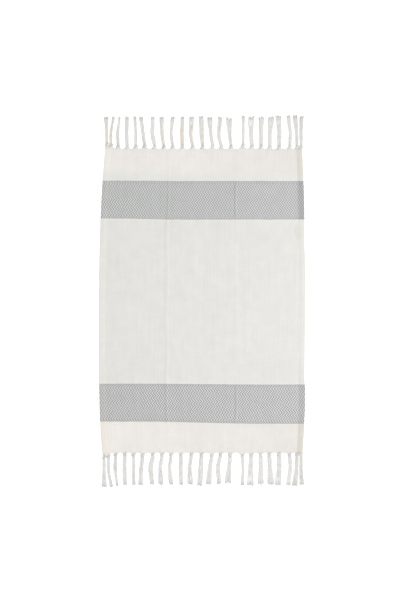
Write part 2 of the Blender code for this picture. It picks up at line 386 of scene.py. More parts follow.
# %% Lay the cloth
SIDE_ROUND = 0.9 * MM  # the fold of the hem, outside the flat face
PULL_LENGTH = 5.0 * MM  # how far into the cloth the knots are felt
SETTLE_LENGTH = 14.0 * MM  # the knots also hold the end of the cloth down, over this distance
GATHER, KNOT_LIFT = 0.70, 0.6 * MM  # how far a knot draws the warp together and lifts it
HEM_STEP = 3.0 * MM
STITCH_INSET, GROOVE_HALF, GROOVE_DEPTH = 11.6 * MM, 1.1 * MM, 0.3 * MM


def thickness(share, y):
    """Cloth, hem and the groove that the hem's stitches press into it."""
    from_side = np.minimum(share, 1 - share) * WIDTH
    hem = 1 - smooth((from_side - HEM_WIDTH + HEM_STEP) / HEM_STEP)
    groove = GROOVE_DEPTH * np.exp(-(((from_side - STITCH_INSET) / GROOVE_HALF) ** 2))
    return CLOTH_THICK + (HEM_THICK - CLOTH_THICK) * hem - groove


def lay(share, along):
    """Place on the table: x, y, the under side's height and the face's height."""
    share, along = np.broadcast_arrays(share, along)
    y = along + slant(share, along)
    left, right = side_x("left", y) + SIDE_ROUND, side_x("right", y) - SIDE_ROUND
    x = left + share * (right - left)
    pulled_x, pulled_y, raised, near_end = x, y, 0.0, 0.0
    for end in ENDS.values():
        inside = np.clip(end["last_weft"] - end["way"] * along, 0, None)
        near = np.exp(-inside / PULL_LENGTH)
        pull, near_knot, to_knot = tent(x, end)
        pulled_y = pulled_y + end["way"] * near * pull
        pulled_x = pulled_x + GATHER * near * near_knot * (1 - near_knot) * to_knot
        raised = raised + KNOT_LIFT * near * near_knot**2
        near_end = near_end + np.exp(-inside / SETTLE_LENGTH)
    below = lift(share, pulled_x, pulled_y, near_end) + raised
    return pulled_x, pulled_y, below, below + thickness(share, y)

# %% [markdown]
# ## The woven panel
#
# The cloth is one closed skin: a face, an under side and a rounded rim. It is a grid of rows and
# columns that lie closer together near the ends and the hems, where the shape changes fastest. Each
# point keeps its woven place in a UV map called "woven", in metres, so the threads follow the pulled
# and bowed cloth. A second map lays the face and the back out flat side by side.

# %% Rows and columns of the panel
ROWS, EVEN_COLUMNS = 168, 212
ROWS_CROWD, COLUMNS_CROWD = 0.72, 0.30  # how much closer together they lie towards the edges
CREASE_STEPS = np.linspace(-6.0, 6.0, 13) * MM  # extra columns carry the sharp folds
LAST_ROW = 0.3 * MM  # a close pair of rows at each end lets the cloth turn over sharply there


def crowded(count, share):
    """Numbers from -1 to 1 that lie closer together towards both ends."""
    t = np.linspace(-1, 1, count)
    return t + share * np.sin(math.pi * t) / math.pi


head_weft, foot_weft = (end["way"] * end["last_weft"] for end in ENDS.values())
WOVEN_LENGTH = head_weft - foot_weft
even_shares = 0.5 + 0.5 * crowded(EVEN_COLUMNS, COLUMNS_CROWD)
crease_shares = np.array([[crease[0]] for crease in CREASES])
to_crease = np.abs(even_shares - crease_shares).min(0) * WIDTH
clear_of_creases = even_shares[to_crease > CREASE_STEPS[-1] + 0.5 * MM]
shares = np.sort([*clear_of_creases, *(crease_shares + CREASE_STEPS / WIDTH).flat])
alongs = (head_weft + foot_weft) / 2 + WOVEN_LENGTH / 2 * crowded(ROWS - 2, ROWS_CROWD)
alongs = np.sort([*alongs, foot_weft + LAST_ROW, head_weft - LAST_ROW])
grid_share, grid_along = (part.ravel() for part in np.meshgrid(shares, alongs))
grid_x, grid_y, grid_below, grid_above = lay(grid_share, grid_along)
print(f"woven length {WOVEN_LENGTH * 1000:.0f} mm, face rises to {grid_above.max() * 1000:.1f} mm")

# %% Points of the face, the under side and the rim
END_ROUND, ON_TABLE = 0.35 * MM, 0.05 * MM
TURN_DOWN, TURN_UP = 0.06 * MM, 0.10 * MM  # the skin turns over gently before the rim
COLUMNS = len(shares)
number = np.arange(ROWS * COLUMNS).reshape(ROWS, COLUMNS)
border = np.concatenate([number[0, :-1], number[:-1, -1], number[-1, :0:-1], number[:0:-1, 0]])
sides = (border % COLUMNS, COLUMNS - 1, SIDE_ROUND), (border // COLUMNS, ROWS - 1, END_ROUND)
outward = np.column_stack([((at == last) * 1.0 - (at == 0)) * past for at, last, past in sides])
rim_xy = np.column_stack([grid_x, grid_y])[border] + outward
rim = np.column_stack([rim_xy, (grid_below[border] + grid_above[border]) / 2])
face = np.column_stack([grid_x, grid_y, grid_above])
back = np.column_stack([grid_x, grid_y, grid_below + ON_TABLE])
face[border, 2] -= TURN_DOWN
back[border, 2] += TURN_UP
points = np.concatenate([face, back, rim])

# %% Faces, all of them turned outwards
corner = number[:-1, :-1].ravel()
squares = np.column_stack([corner, corner + 1, corner + COLUMNS + 1, corner + COLUMNS])
ring = 2 * number.size + np.arange(len(border))
following, ring_following = np.roll(border, -1), np.roll(ring, -1)
upper = np.column_stack([ring, ring_following, following, border])
lower = np.column_stack([border + number.size, following + number.size, ring_following, ring])
faces = np.concatenate([squares, squares[:, ::-1] + number.size, upper, lower])
panel_mesh = bpy.data.meshes.new("woven_panel")
panel_mesh.from_pydata(points.tolist(), [], faces.tolist())
panel_mesh.shade_smooth()
panel = put_in_scene("woven_panel", panel_mesh)
print("woven panel:", 2 * len(faces), "triangles")

# %% The woven map, in metres along the threads
woven = np.column_stack([(grid_share - 0.5) * WIDTH, grid_along])
woven_places = np.concatenate([woven, woven, woven[border] + outward])
woven_map = panel_mesh.uv_layers.new(name="woven")
woven_map.uv.foreach_set("vector", woven_places[faces].astype(np.float32).ravel())

# %% Where the warp lies open
# Beyond the last weft the warp ends run on to their knot with nothing between them. The material
# paints shade there, for the shadows between the ends.
OPEN_OVER = 2.5 * MM
open_warp = 0.0
for end in ENDS.values():
    beyond = end["way"] * grid_y - end["last_weft"]
    open_warp = open_warp + smooth(beyond / OPEN_OVER) * smooth(1.5 * tent(grid_x, end)[1])
open_shares = np.concatenate([open_warp, open_warp, open_warp[border]])
panel_mesh.attributes.new("open_warp", "FLOAT", "POINT").data.foreach_set("value", open_shares)

# %% The flat lay of face, back and rim
# The face fills the left two thirds of a square. Beside it lie the back and two strips of rim.
flat = np.column_stack([grid_share, (grid_along - foot_weft) / WOVEN_LENGTH])
face_lay, back_lay = (0.01, 0.01) + flat * (0.65, 0.98), (0.68, 0.01) + flat * (0.31, 0.47)
steps = np.arange(len(border))
strip = 0.68 + 0.31 * np.column_stack([steps, steps + 1, steps + 1, steps]) / len(border)
up = 0.01 * np.array([0.0, 0.0, 1.0, 1.0])
rim_lays = [np.stack(np.broadcast_arrays(strip, low + up), 2) for low in (0.51, 0.53)]
flat_lay = np.concatenate([face_lay[squares], back_lay[squares[:, ::-1]], *rim_lays])
lay_map = panel_mesh.uv_layers.new(name="OFBake")
lay_map.uv.foreach_set("vector", flat_lay.astype(np.float32).ravel())
panel_mesh.uv_layers.active = woven_map

# %% [markdown]
# ## Handwoven cotton
#
# The fabric is a slubby two-fold cotton: matt, a little fuzzy, never quite even. The ground is plain
# weave, all off-white. In the bands a grey weft is thrown, and the treadling changes to a pointed
# 2/2 twill, which turns back every four picks and draws fine zigzag lines that run lengthwise. The
# shader works as a loom does: it counts which warp end and which pick a place belongs to, asks the
# weave which of the two is on top, and shows that thread, rounded, with a dark gap beside it.

# %% Start of the cotton material
cotton, loom = new_material("handwoven_slub_cotton")
woven_place = add(loom, "ShaderNodeUVMap", uv_map="woven")
woven_parts = add(loom, "split", woven_place)
woven_x, woven_y = woven_parts.outputs["X"], woven_parts.outputs["Y"]

# %% Count the threads
# Threads wander by up to a third of their spacing over a few centimetres.
WANDER, WANDERS_TO_THE_METRE = 0.35, (38.0, 22.0, 1.0)
wander_place = add(loom, "VECTOR_MULTIPLY", woven_place, WANDERS_TO_THE_METRE)
wander_noise = add(loom, "noise", wander_place, 1.0, 1.0)
wander = add(loom, "VECTOR_SUBTRACT", wander_noise.outputs["Color"], (0.5, 0.5, 0.5))
counted = add(loom, "VECTOR_MULTIPLY", woven_place, (1 / WARP_PITCH, 1 / WEFT_PITCH, 1.0))
thread_place = add(loom, "VECTOR_MULTIPLY_ADD", wander, (2 * WANDER,) * 3, counted)
in_thread = add(loom, "VECTOR_FRACTION", thread_place)
thread_number = add(loom, "split", add(loom, "VECTOR_FLOOR", thread_place))
end_number, pick_number = thread_number.outputs["X"], thread_number.outputs["Y"]

# %% Where the grey weft lies
PLAIN_EDGE = 3.4 * MM  # the first and last two picks of a band are still plain weave
band_masks = []
for inset in (0.0, PLAIN_EDGE):
    masks = []
    for low, high in BANDS:
        middle, half = (low + high) / 2 / WEFT_PITCH, ((high - low) / 2 - inset) / WEFT_PITCH
        masks.append(add(loom, "COMPARE", pick_number, middle, half))
    band_masks.append(add(loom, "ADD", *masks))
grey_weft, twill_zone = band_masks

# %% Which thread is on top
# Plain weave: every second crossing. Twill: two up and two down, one further at each pick.
TREADLES = 4.0  # picks before the point turns back, and ends in a repeat
plain_up = add(loom, "FLOORED_MODULO", add(loom, "ADD", end_number, pick_number), 2.0)
pointed = add(loom, "PINGPONG", pick_number, TREADLES)
in_repeat = add(loom, "FLOORED_MODULO", add(loom, "ADD", end_number, pointed), TREADLES)
warp_up = add(loom, "ShaderNodeMix", twill_zone, plain_up, add(loom, "LESS_THAN", in_repeat, 1.5))

# %% Round threads
# 4 t (1 - t) is 1 along the middle of a thread and 0 at both of its sides.
DIP = 0.40  # how far a thread sinks where it is about to go under
opposite = add(loom, "VECTOR_SUBTRACT", (1.0, 1.0, 1.0), in_thread)
arch = add(loom, "VECTOR_MULTIPLY", in_thread, opposite)
arches = add(loom, "split", add(loom, "VECTOR_MULTIPLY", arch, (4.0, 4.0, 4.0)))
over_end, over_pick = arches.outputs["X"], arches.outputs["Y"]
heights = []
for across, lengthwise in ((over_pick, over_end), (over_end, over_pick)):
    sunk = add(loom, "MULTIPLY_ADD", lengthwise, DIP, 1 - DIP)
    heights.append(add(loom, "MULTIPLY", add(loom, "SQRT", across), sunk))
thread_height = add(loom, "ShaderNodeMix", warp_up, *heights)

# %% Colours of the threads
WARP, WEFT, GREY_WEFT = linear("#f7f4f0"), linear("#f6f3ee"), linear("#a1a2a3")
# The warp on the bands is also darkened with painted shade between the threads.
WARP_ON_BAND = linear("#e2e2e1")  # grey fuzz from the weft dulls it
warp_colour = add(loom, "blend", grey_weft, WARP, WARP_ON_BAND)
weft_colour = add(loom, "blend", grey_weft, WEFT, GREY_WEFT)
thread_colour = add(loom, "blend", warp_up, weft_colour, warp_colour)

# %% Slubs, streaks and clouds
# Handspun yarn is uneven. Streaks run along single warp ends for about a hand's width, short slubs
# run along the weft, and clouds a few centimetres wide come from the washing. Each one lightens or
# darkens the cloth by one or two parts in a hundred.
UNEVENNESS = (  # size across and along in metres, strength
    (0.0030, 0.150, 0.042),
    (0.045, 0.0020, 0.024),
    (0.022, 0.028, 0.036),
    (0.110, 0.130, 0.024),
)
tone_and_hem_light = 1.0
for across, lengthwise, strength in UNEVENNESS:
    place = add(loom, "VECTOR_MULTIPLY", woven_place, (1 / across, 1 / lengthwise, 1.0))
    noise = add(loom, "noise", place, 1.0, 1.5)
    part = add(loom, "MULTIPLY_ADD", noise, 2 * strength, -strength)
    tone_and_hem_light = add(loom, "ADD", part, tone_and_hem_light)

# %% Tints along the towel, and painted shade across it
# The cones of yarn weren't quite one shade: the ends are warmer and lighter than the middle. Each
# row is a stretch along the warp, in metres, and its tints at the left and at the right side. Between
# two stretches the tint changes evenly. Where the left and right tints differ, that is painted shade:
# it darkens the left of the middle and of the bands a little, and the right of the ends more.
TINTS_AND_SIDE_SHADE = (
    (-0.3669, -0.3669, "#fefdfd", "#f4f3f3"), (-0.3560, -0.2980, "#fffefe", "#f5f4f4"),
    (-0.2967, -0.2920, "#f5f5f4", "#f8f8f7"), (-0.2900, -0.2085, "#fafbfa", "#ffffff"),
    (-0.2065, -0.2024, "#f5f5f4", "#f8f8f7"), (-0.2015, -0.2015, "#f5f7f7", "#f5f8f8"),
    (-0.1900, 0.1900, "#f3f5f5", "#f4f6f6"), (0.1960, 0.1960, "#f4f6f6", "#f5f7f7"),
    (0.1968, 0.2010, "#f6f6f5", "#f8f8f7"), (0.2030, 0.2840, "#fbfcfb", "#ffffff"),
    (0.2860, 0.2902, "#f6f6f5", "#f8f8f7"), (0.2911, 0.2911, "#f6f9f9", "#f6f9f9"),
    (0.2970, 0.2970, "#f4f7f7", "#f4f7f7"), (0.3060, 0.3060, "#f8fafa", "#f5f7f7"),
    (0.3200, 0.3575, "#ffffff", "#f7f6f6"), (0.3690, 0.3690, "#fefdfd", "#f6f5f5"),
)
tint_from, tint_to = TINTS_AND_SIDE_SHADE[0][0], TINTS_AND_SIDE_SHADE[-1][1]
tint_place = add(loom, "range", woven_y, tint_from, tint_to)
side_tints_and_shade = []
for side in (2, 3):
    ramp = add(loom, "ShaderNodeValToRGB", tint_place)
    stops = ramp.color_ramp.elements
    for row in TINTS_AND_SIDE_SHADE[1:-1]:
        for at in sorted({*row[:2]}):
            stops.new((at - tint_from) / (tint_to - tint_from)).color = linear(row[side])
    stops[0].color, stops[-1].color = linear(TINTS_AND_SIDE_SHADE[0][side]), linear(TINTS_AND_SIDE_SHADE[-1][side])
    side_tints_and_shade.append(ramp.outputs["Color"])
# blending the two sides lays the painted shade across the towel
tints_and_side_shade = add(loom, "blend", add(loom, "range", woven_x, -WIDTH / 2, WIDTH / 2), *side_tints_and_shade)
print("tints along the towel:", len(stops), "stops a side")

# %% Creamier hems, with painted shade
# Layers of unbleached selvedge yarn lie in each hem, and they show cream at the two ends. The hems
# also carry painted shade, most of all the right one: it is darker at the ends, and on the bands the
# hem gets only painted shade.
HEM_TINTS_AND_SHADE = (  # side, its inset in mm, plain cloth at the foot and at the head, bands there
    (-1, 0.0, ("#faf7f3", "#fbfcfb"), ("#fbfbfb", "#fbfbfb")),
    (1, 1.0, ("#f0efe9", "#f3f2ec"), ("#f0f0f0", "#e4e4e4")),
)
CREAM_FROM, CREAM_FULL = 0.130, 0.290  # distance from the middle of the towel
HEM_FADE = 4.0 * MM
towards_end = add(loom, "range", add(loom, "ABSOLUTE", woven_y), CREAM_FROM, CREAM_FULL)
hem_shown = add(loom, "MAXIMUM", towards_end, grey_weft)
at_head = add(loom, "GREATER_THAN", woven_y, 0.0)
hem_tint_and_shade, hem_shares = linear("#ffffff"), []
for side, inset, *pairs in HEM_TINTS_AND_SHADE:
    inner = side * (WIDTH / 2 - HEM_WIDTH + inset * MM)
    hem_shares.append(add(loom, "range", woven_x, inner - side * HEM_FADE, inner))
    hem_share = add(loom, "MULTIPLY", hem_shares[-1], hem_shown)
    plain_hem_tint_and_shade, band_hem_shade = (
        add(loom, "blend", at_head, linear(foot), linear(head)) for foot, head in pairs
    )
    # cream with painted shade on the plain cloth, painted shade alone on the bands
    hem_cream_and_shade = add(loom, "blend", grey_weft, plain_hem_tint_and_shade, band_hem_shade)
    hem_tint_and_shade = add(loom, "blend", hem_share, hem_tint_and_shade, hem_cream_and_shade)

# %% Three small things at the hems
# One creamier selvedge yarn runs along the left hem's folded edge and shows as a fine line.
at_line = add(loom, "COMPARE", woven_x, HEM_WIDTH - WIDTH / 2, 1.2 * MM)
line_share = add(loom, "MULTIPLY", at_line, towards_end)
hem_tint_and_shade = add(loom, "blend", line_share, hem_tint_and_shade, linear("#fffdf4"))
# Below the head's band a soft patch of the right hem is darkened with painted shade.
HEM_SHADE_PATCH_AT, HEM_SHADE_PATCH_HALF = (0.2350, 0.1700, 0.0), (0.0140, 0.0260, 1.0)
from_hem_shade_patch = add(loom, "VECTOR_SUBTRACT", woven_place, HEM_SHADE_PATCH_AT)
how_far = add(loom, "VECTOR_LENGTH", add(loom, "VECTOR_DIVIDE", from_hem_shade_patch, HEM_SHADE_PATCH_HALF))
# the patch of painted shade, full at its middle and fading out
carried = add(loom, "range", how_far, 1.0, 0.35, interpolation_type="SMOOTHSTEP")
hem_tint_and_shade = add(loom, "blend", carried, hem_tint_and_shade, linear("#f7f8f4"))
# Painted light makes each hem a little lighter, the left more than the right.
HEM_PAINTED_LIGHT = (0.038, 0.015)  # left, right
for hem_share, hem_painted_light in zip(hem_shares, HEM_PAINTED_LIGHT):
    tone_and_hem_light = add(loom, "MULTIPLY_ADD", hem_share, hem_painted_light, tone_and_hem_light)

# %% Put the colour together
# Painted shade: the gap beside each thread is darkened by the thread's height.
GAP_SHADE = 0.24  # how much darker the gap beside a thread is than its crown
# painted shade between the bare warp ends
OPEN_SHADE = 0.14  # how much darker open warp is than cloth
shade = add(loom, "MULTIPLY_ADD", thread_height, GAP_SHADE, 1 - GAP_SHADE)
opened = add(loom, "seen", attribute_name="open_warp")
open_shade = add(loom, "MULTIPLY_ADD", opened.outputs["Fac"], -OPEN_SHADE, 1.0)
# the tone now holds the random unevenness and the hems' painted light
for factor in (open_shade, tone_and_hem_light):
    shade = add(loom, "MULTIPLY", shade, factor)
fabric = thread_colour
for layer in (tints_and_side_shade, hem_tint_and_shade):
    fabric = add(loom, "blend", 1.0, fabric, layer, blend_type="MULTIPLY")
fabric = add(loom, "VECTOR_SCALE", fabric, shade)

# %% Relief and surface of the cotton
# The bump carries the rounded threads and a finer fuzz of loose fibres.
FIBRES_TO_THE_METRE, FUZZ_SHARE = 2600.0, 0.25
fuzz_place = add(loom, "VECTOR_MULTIPLY", woven_place, (FIBRES_TO_THE_METRE,) * 2 + (1.0,))
fuzz = add(loom, "noise", fuzz_place, 1.0, 2.0)
relief = add(loom, "MULTIPLY_ADD", fuzz, FUZZ_SHARE, thread_height)
bump = add(loom, "bump", {"Strength": 0.55, "Distance": 0.45 * MM, "Height": relief})
surface(loom, {
    "Base Color": fabric, "Normal": bump, "Roughness": 0.92, "Specular IOR Level": 0.25,
    "Sheen Weight": 0.12, "Sheen Roughness": 0.6,
})
panel_mesh.materials.append(cotton)
print("cotton:", len(loom.nodes), "nodes")

# %% [markdown]
# ## Paths for the tassels
#
# Each tassel follows one path: out of the cloth, together at the neck, through the knot, along the
# table and into the cut brush. A path is a few stations. Each tells how wide and thick the bundle is
# there, how far the yarns have gathered from a row into it, how free they are to wander, and how far
# the bundle has turned and parted. Geometry Nodes copies the path once for every yarn.

# %% Stations of one tassel
STATION_COLUMNS = ("wide", "thick", "gather", "loose", "roll", "part", "tip", "along")
BURIED, LAST_HELD = 9 * MM, 1.5 * MM  # how far inside the cloth a path begins, and leaves it
NECK_WIDTH, BODY_THICK = 5.4 * MM, 2.6 * MM
ROOT_SHARE, LEAST_ROOT = 0.88, 7.2 * MM  # of the body's width, just outside the knot
MID_SHARE, BRUSH_SHARE = 0.45, 0.84  # of the way from the knot to the cut
FIBRE_LENGTH, FIBRES_PAST_CUT = 3.4 * MM, 0.7
MOST_TURNED, TURNED_BY = 0.5, 2.1  # in radians: at most, and on from tassel to tassel


def station(x, y, z, wide, thick, **told):
    """A point of the path and the numbers told there. wide and thick are the bundle's outer size."""
    halves = {"wide": max(wide - YARN, 0) / 2, "thick": max(thick - YARN, 0) / 2}
    told = {**dict.fromkeys(STATION_COLUMNS, 0.0), "gather": 1.0, **halves, **told}
    return (x, y, z, *(told[column] for column in STATION_COLUMNS))

# %% The path of one tassel
def tassel_path(place, tassel, end, name):
    """Stations from inside the cloth to the cut end."""
    way, edge, x = end["way"], end["last_weft"], knots_of(end)[place]
    low, high = limits_of(end)[place : place + 2]
    centre, spread = (low + high) / 2, high - low
    buried, held, knot = edge - BURIED, edge - LAST_HELD, end["knots"] + tassel["out"]
    across = np.clip(centre / WIDTH + 0.5, 0.01, 0.99)
    z_buried, z_held = (float(sum(lay(across, way * far)[2:])) / 2 for far in (buried, held))
    root, cut = knot + KNOT_LENGTH / 2, end["cut"] + tassel[name] - FIBRES_PAST_CUT * FIBRE_LENGTH
    middle, brush = (root + share * (cut - root) for share in (MID_SHARE, BRUSH_SHARE))
    x_middle, x_tip = x + tassel["mid"], x + tassel["tip"] + end["sways"] * tassel["sway"]
    x_brush = x_middle + (BRUSH_SHARE - MID_SHARE) / (1 - MID_SHARE) * (x_tip - x_middle)
    body, flare = end["fullness"] * tassel["body"], end["flaring"] * tassel["flare"]
    turn = MOST_TURNED * math.sin(TURNED_BY * place)
    part_middle, part_tip = (share * MM for share in PARTED.get(place + 1, (0.0, 0.0)))

    def at(far, x, z, wide, thick, **told):
        return station(x, way * far, z, wide, thick, along=far - buried, **told)

    return [
        at(buried, centre, z_buried, 0.96 * spread, YARN, gather=0.0),
        at(held, 0.6 * centre + 0.4 * x, z_held, 0.8 * spread, YARN, gather=0.0),
        at(edge + 0.6 * MM, x, 1.7 * MM, 0.6 * spread, 1.5 * MM, gather=0.3),
        at(knot - 0.4 * KNOT_LENGTH, x, 2.6 * MM, NECK_WIDTH + 0.8 * MM, 2.4 * MM, gather=0.8),
        at(knot, x, 2.9 * MM, NECK_WIDTH, 3.4 * MM, roll=0.3 * turn),
        at(root, x, 2.3 * MM, max(ROOT_SHARE * body, LEAST_ROOT), 2.6 * MM, roll=0.6 * turn, loose=0.1),
        at((root + middle) / 2, x + 0.55 * (x_middle - x), 2.1 * MM, body, BODY_THICK,
           roll=turn, loose=0.8, part=0.6 * part_middle),
        at(middle, x_middle, 2.0 * MM, body, BODY_THICK, roll=-0.4 * turn, loose=1.0, part=part_middle),
        at(brush, x_brush, 1.7 * MM, 0.2 * body + 0.95 * flare, 2.4 * MM,
           roll=-turn, loose=1.2, part=0.5 * (part_middle + part_tip)),
        at(cut, x_tip, 1.4 * MM, 1.05 * flare + 1.0 * MM, 2.0 * MM,
           roll=-0.5 * turn, gather=0.8, loose=1.3, part=part_tip, tip=1.0),
    ]

# %% Paths as a mesh of open lines
def path_mesh(name, paths, columns):
    """An object whose open lines are the paths, with one named number for each column."""
    rows = np.array([row for path in paths for row in path], float)
    edges, first = [], 0
    for path in paths:
        edges += [(first + step, first + step + 1) for step in range(len(path) - 1)]
        first += len(path)
    mesh = bpy.data.meshes.new(name)
    mesh.from_pydata(rows[:, :3].tolist(), edges, [])
    for column, values in zip(columns, rows[:, 3:].T.tolist()):
        mesh.attributes.new(column, "FLOAT", "POINT").data.foreach_set("value", values)
    return put_in_scene(name, mesh)

# %% Number of yarns in each bundle
FEWEST_YARNS, YARNS_PER_FLARE = 11.5, 0.6 / MM  # a bundle that spreads wider holds more
FRINGE_COLUMNS = STATION_COLUMNS + ("yarns", "tassel", "cream", "greyer")
STRAY = ((-0.2215, 0.3700), (-0.2236, 0.3850), (-0.2242, 0.4020), (-0.2231, 0.4190))


def fringe_paths(name):
    """Every tassel of one end, and at the head one stray cream yarn beside the first."""
    paths = []
    for place, tassel in enumerate(TASSELS):
        yarns, number = round(FEWEST_YARNS + YARNS_PER_FLARE * tassel["flare"]), place + 1
        same = (yarns, number, CREAM[name].get(number, 0.0), GREYER.get(number, 0.0))
        paths.append([(*row, *same) for row in tassel_path(place, tassel, ENDS[name], name)])
    if name == "head":
        same, (_, start), (_, stop) = (1.0, len(TASSELS) + 1.0, 1.0, 0.0), STRAY[0], STRAY[-1]
        paths.append([
            (*station(x, y, 1.2 * MM, 0, 0, along=y - start, tip=float(y == stop)), *same)
            for x, y in STRAY
        ])
    return paths

# %% [markdown]
# ## Yarns by Geometry Nodes
#
# Forty-six bundles of fifteen to twenty yarns are a job for Geometry Nodes. The tree turns each path
# to a smooth curve, copies it once for each yarn, and moves every copy to its own place in the
# bundle. In the cloth the yarns lie side by side. From the neck on they sit in a round bundle, spread
# by the golden ratio so that no two fall on each other, and the bundle turns slowly as it runs on.

# %% A tree with named inputs
def new_tree(name, **kinds):
    """A geometry tree with a named input of its kind for each size, and the inputs' sockets."""
    tree = bpy.data.node_groups.new(name, "GeometryNodeTree")
    for way in ("INPUT", "OUTPUT"):
        tree.interface.new_socket("Geometry", in_out=way, socket_type="NodeSocketGeometry")
    for kind, labels in {**kinds, "Material": ("Material",)}.items():
        for label in labels:
            tree.interface.new_socket(label, in_out="INPUT", socket_type=f"NodeSocket{kind}")
    return tree, tree.nodes.new("NodeGroupInput").outputs

# %% Steps that the trees share
def above_table(tree, geometry, place, least):
    """Moves the points of a geometry to their place, but none of them lower than least."""
    spot = add(tree, "split", place)
    height = add(tree, "MAXIMUM", spot.outputs["Z"], least)
    raised = add(tree, "join", spot.outputs["X"], spot.outputs["Y"], height)
    return add(tree, "move", geometry, {"Position": raised})


def yarn_section(tree, sides, radius):
    """A round section. "around" keeps the direction as cosine and sine, which have no seam."""
    circle = add(tree, "circle", {"Resolution": sides, "Radius": radius})
    direction = add(tree, "VECTOR_NORMALIZE", add(tree, "here"))
    marked = {"Name": "around", "Value": direction}
    return add(tree, "store", circle, marked, data_type="FLOAT_VECTOR")


def close_tree(tree, copies, material, least=None):
    """Turns the copies to real mesh, above the table, and gives it soft shading and its material."""
    real = add(tree, "GeometryNodeRealizeInstances", copies)
    if least is not None:
        real = above_table(tree, real, add(tree, "here"), least)
    soft = add(tree, "GeometryNodeSetShadeSmooth", real, {"Shade Smooth": True})
    add(tree, "NodeGroupOutput", add(tree, "GeometryNodeSetMaterial", soft, {"Material": material}))
    print(f"{tree.name}: {len(tree.nodes)} nodes")

# %% Run a tree
def run_tree(guide, tree, values):
    """Gives the guide the tree's result as its own plain mesh."""
    modifier = guide.modifiers.new("made by the tree", "NODES")
    modifier.node_group = tree
    for item in tree.interface.items_tree:
        if item.in_out == "INPUT" and item.name in values:
            modifier[item.identifier] = values[item.name]
    bpy.context.view_layer.update()
    ready = bpy.context.evaluated_depsgraph_get()
    made = bpy.data.meshes.new_from_object(
        guide.evaluated_get(ready), preserve_all_data_layers=True, depsgraph=ready
    )
    guide.modifiers.remove(modifier)
    guide.data = made
    made.name = guide.name
    made.calc_loop_triangles()
    print(f"{guide.name}: {len(made.loop_triangles)} triangles")
    return guide

# %% Copy each path once for every yarn
tuft, tuft_in = new_tree(
    "yarn_bundles", Int=("Sides", "Points", "Fibres"),
    Float=("Yarn thickness", "Wander", "Uneven cut", "Seed", "Fibre length", "Fibre spread"),
)
lines = add(tuft, "to curve", tuft_in["Geometry"])
rounded = add(tuft, "GeometryNodeCurveSplineType", lines, spline_type="CATMULL_ROM")
even = add(tuft, "points", rounded, {"Count": tuft_in["Points"]})
told = {column: add(tuft, "read", column) for column in FRINGE_COLUMNS}
yarn_count = add(tuft, "ROUND", told["yarns"])
copies = add(tuft, "copy", even, {"Amount": yarn_count})
yarn_number = copies.outputs["Duplicate Index"]

# %% Luck: one fixed random number for each yarn
NUMBERS_A_TASSEL = 37.0  # more than the yarns of any tassel
tassel_number = add(tuft, "ROUND", told["tassel"])
own_number = add(tuft, "MULTIPLY_ADD", tassel_number, NUMBERS_A_TASSEL, yarn_number)
luck = add(tuft, "luck", add(tuft, "ADD", own_number, tuft_in["Seed"]))

# %% Place of each yarn in its bundle
# rank and level run from -1 to 1 across the bundle and up through it.
GOLDEN = 0.618034
counted_off = add(tuft, "DIVIDE", add(tuft, "ADD", yarn_number, 0.5), yarn_count)
rank = add(tuft, "MULTIPLY_ADD", counted_off, 2.0, -1.0)
golden_share = add(tuft, "FRACT", add(tuft, "MULTIPLY", own_number, GOLDEN))
level = add(tuft, "MULTIPLY_ADD", golden_share, 2.0, -1.0)
chord_squared = add(tuft, "SUBTRACT", 1.0, add(tuft, "MULTIPLY", rank, rank))
tall = add(tuft, "MULTIPLY", level, add(tuft, "SQRT", chord_squared))
in_row, in_round = add(tuft, "join", rank), add(tuft, "join", rank, 0.0, tall)
turned = add(
    tuft, "ShaderNodeVectorRotate", in_round, {"Angle": told["roll"]}, rotation_type="Y_AXIS"
)
gathered = add(tuft, "ShaderNodeMix", told["gather"], in_row, turned, data_type="VECTOR")
bundle_size = add(tuft, "join", told["wide"], 0.0, told["thick"])
in_bundle = add(tuft, "VECTOR_MULTIPLY", gathered, bundle_size)

# %% Parted tails, wandering yarns and an uneven cut
here = add(tuft, "here")
outwards = add(tuft, "SIGN", add(tuft, "split", here).outputs["Y"])
luck_far = add(tuft, "MULTIPLY", luck, 60.0)  # each yarn reads the noise at a place of its own
drift_noise = add(tuft, "noise", here, luck_far, 75.0, 1.0, noise_dimensions="4D")
drift_middle = add(tuft, "VECTOR_SUBTRACT", drift_noise.outputs["Color"], (0.5, 0.5, 0.5))
drift_size = add(tuft, "MULTIPLY", told["loose"], tuft_in["Wander"])
drifted = add(tuft, "VECTOR_SCALE", drift_middle, drift_size)
parted = add(tuft, "MULTIPLY", add(tuft, "SIGN", rank), told["part"])
cut_on = add(tuft, "SUBTRACT", luck, 0.5)
for factor in (tuft_in["Uneven cut"], told["tip"], outwards):
    cut_on = add(tuft, "MULTIPLY", cut_on, factor)
small_moves = add(tuft, "join", parted, cut_on)

# %% Move the copies, and keep them on the table
moved = here
for step in (in_bundle, drifted, small_moves):
    moved = add(tuft, "VECTOR_ADD", moved, step)
yarn_radius = add(tuft, "MULTIPLY", tuft_in["Yarn thickness"], 0.5)
placed = above_table(tuft, copies, moved, yarn_radius)
lucky = add(tuft, "store", placed, {"Name": "luck", "Value": luck})

# %% Give the yarns their round section
# Away from the knot the plies loosen, so a yarn gets fuller towards its cut.
FULLER_LOOSE, FULLER_TIP = 0.22, 0.15
looser = add(tuft, "MULTIPLY_ADD", told["loose"], FULLER_LOOSE, 1.0)
fuller = add(tuft, "MULTIPLY_ADD", told["tip"], FULLER_TIP, looser)
section = yarn_section(tuft, tuft_in["Sides"], yarn_radius)
yarn_sizes = {"Profile Curve": section, "Scale": fuller, "Fill Caps": True}
tubes = add(tuft, "tube", lucky, yarn_sizes)

# %% [markdown]
# ## Cut ends
#
# A cut cotton yarn opens into a little brush. One brush of fine tapering fibres is made once and set
# on the tip of every yarn, turned along it and scaled by the yarn's luck.

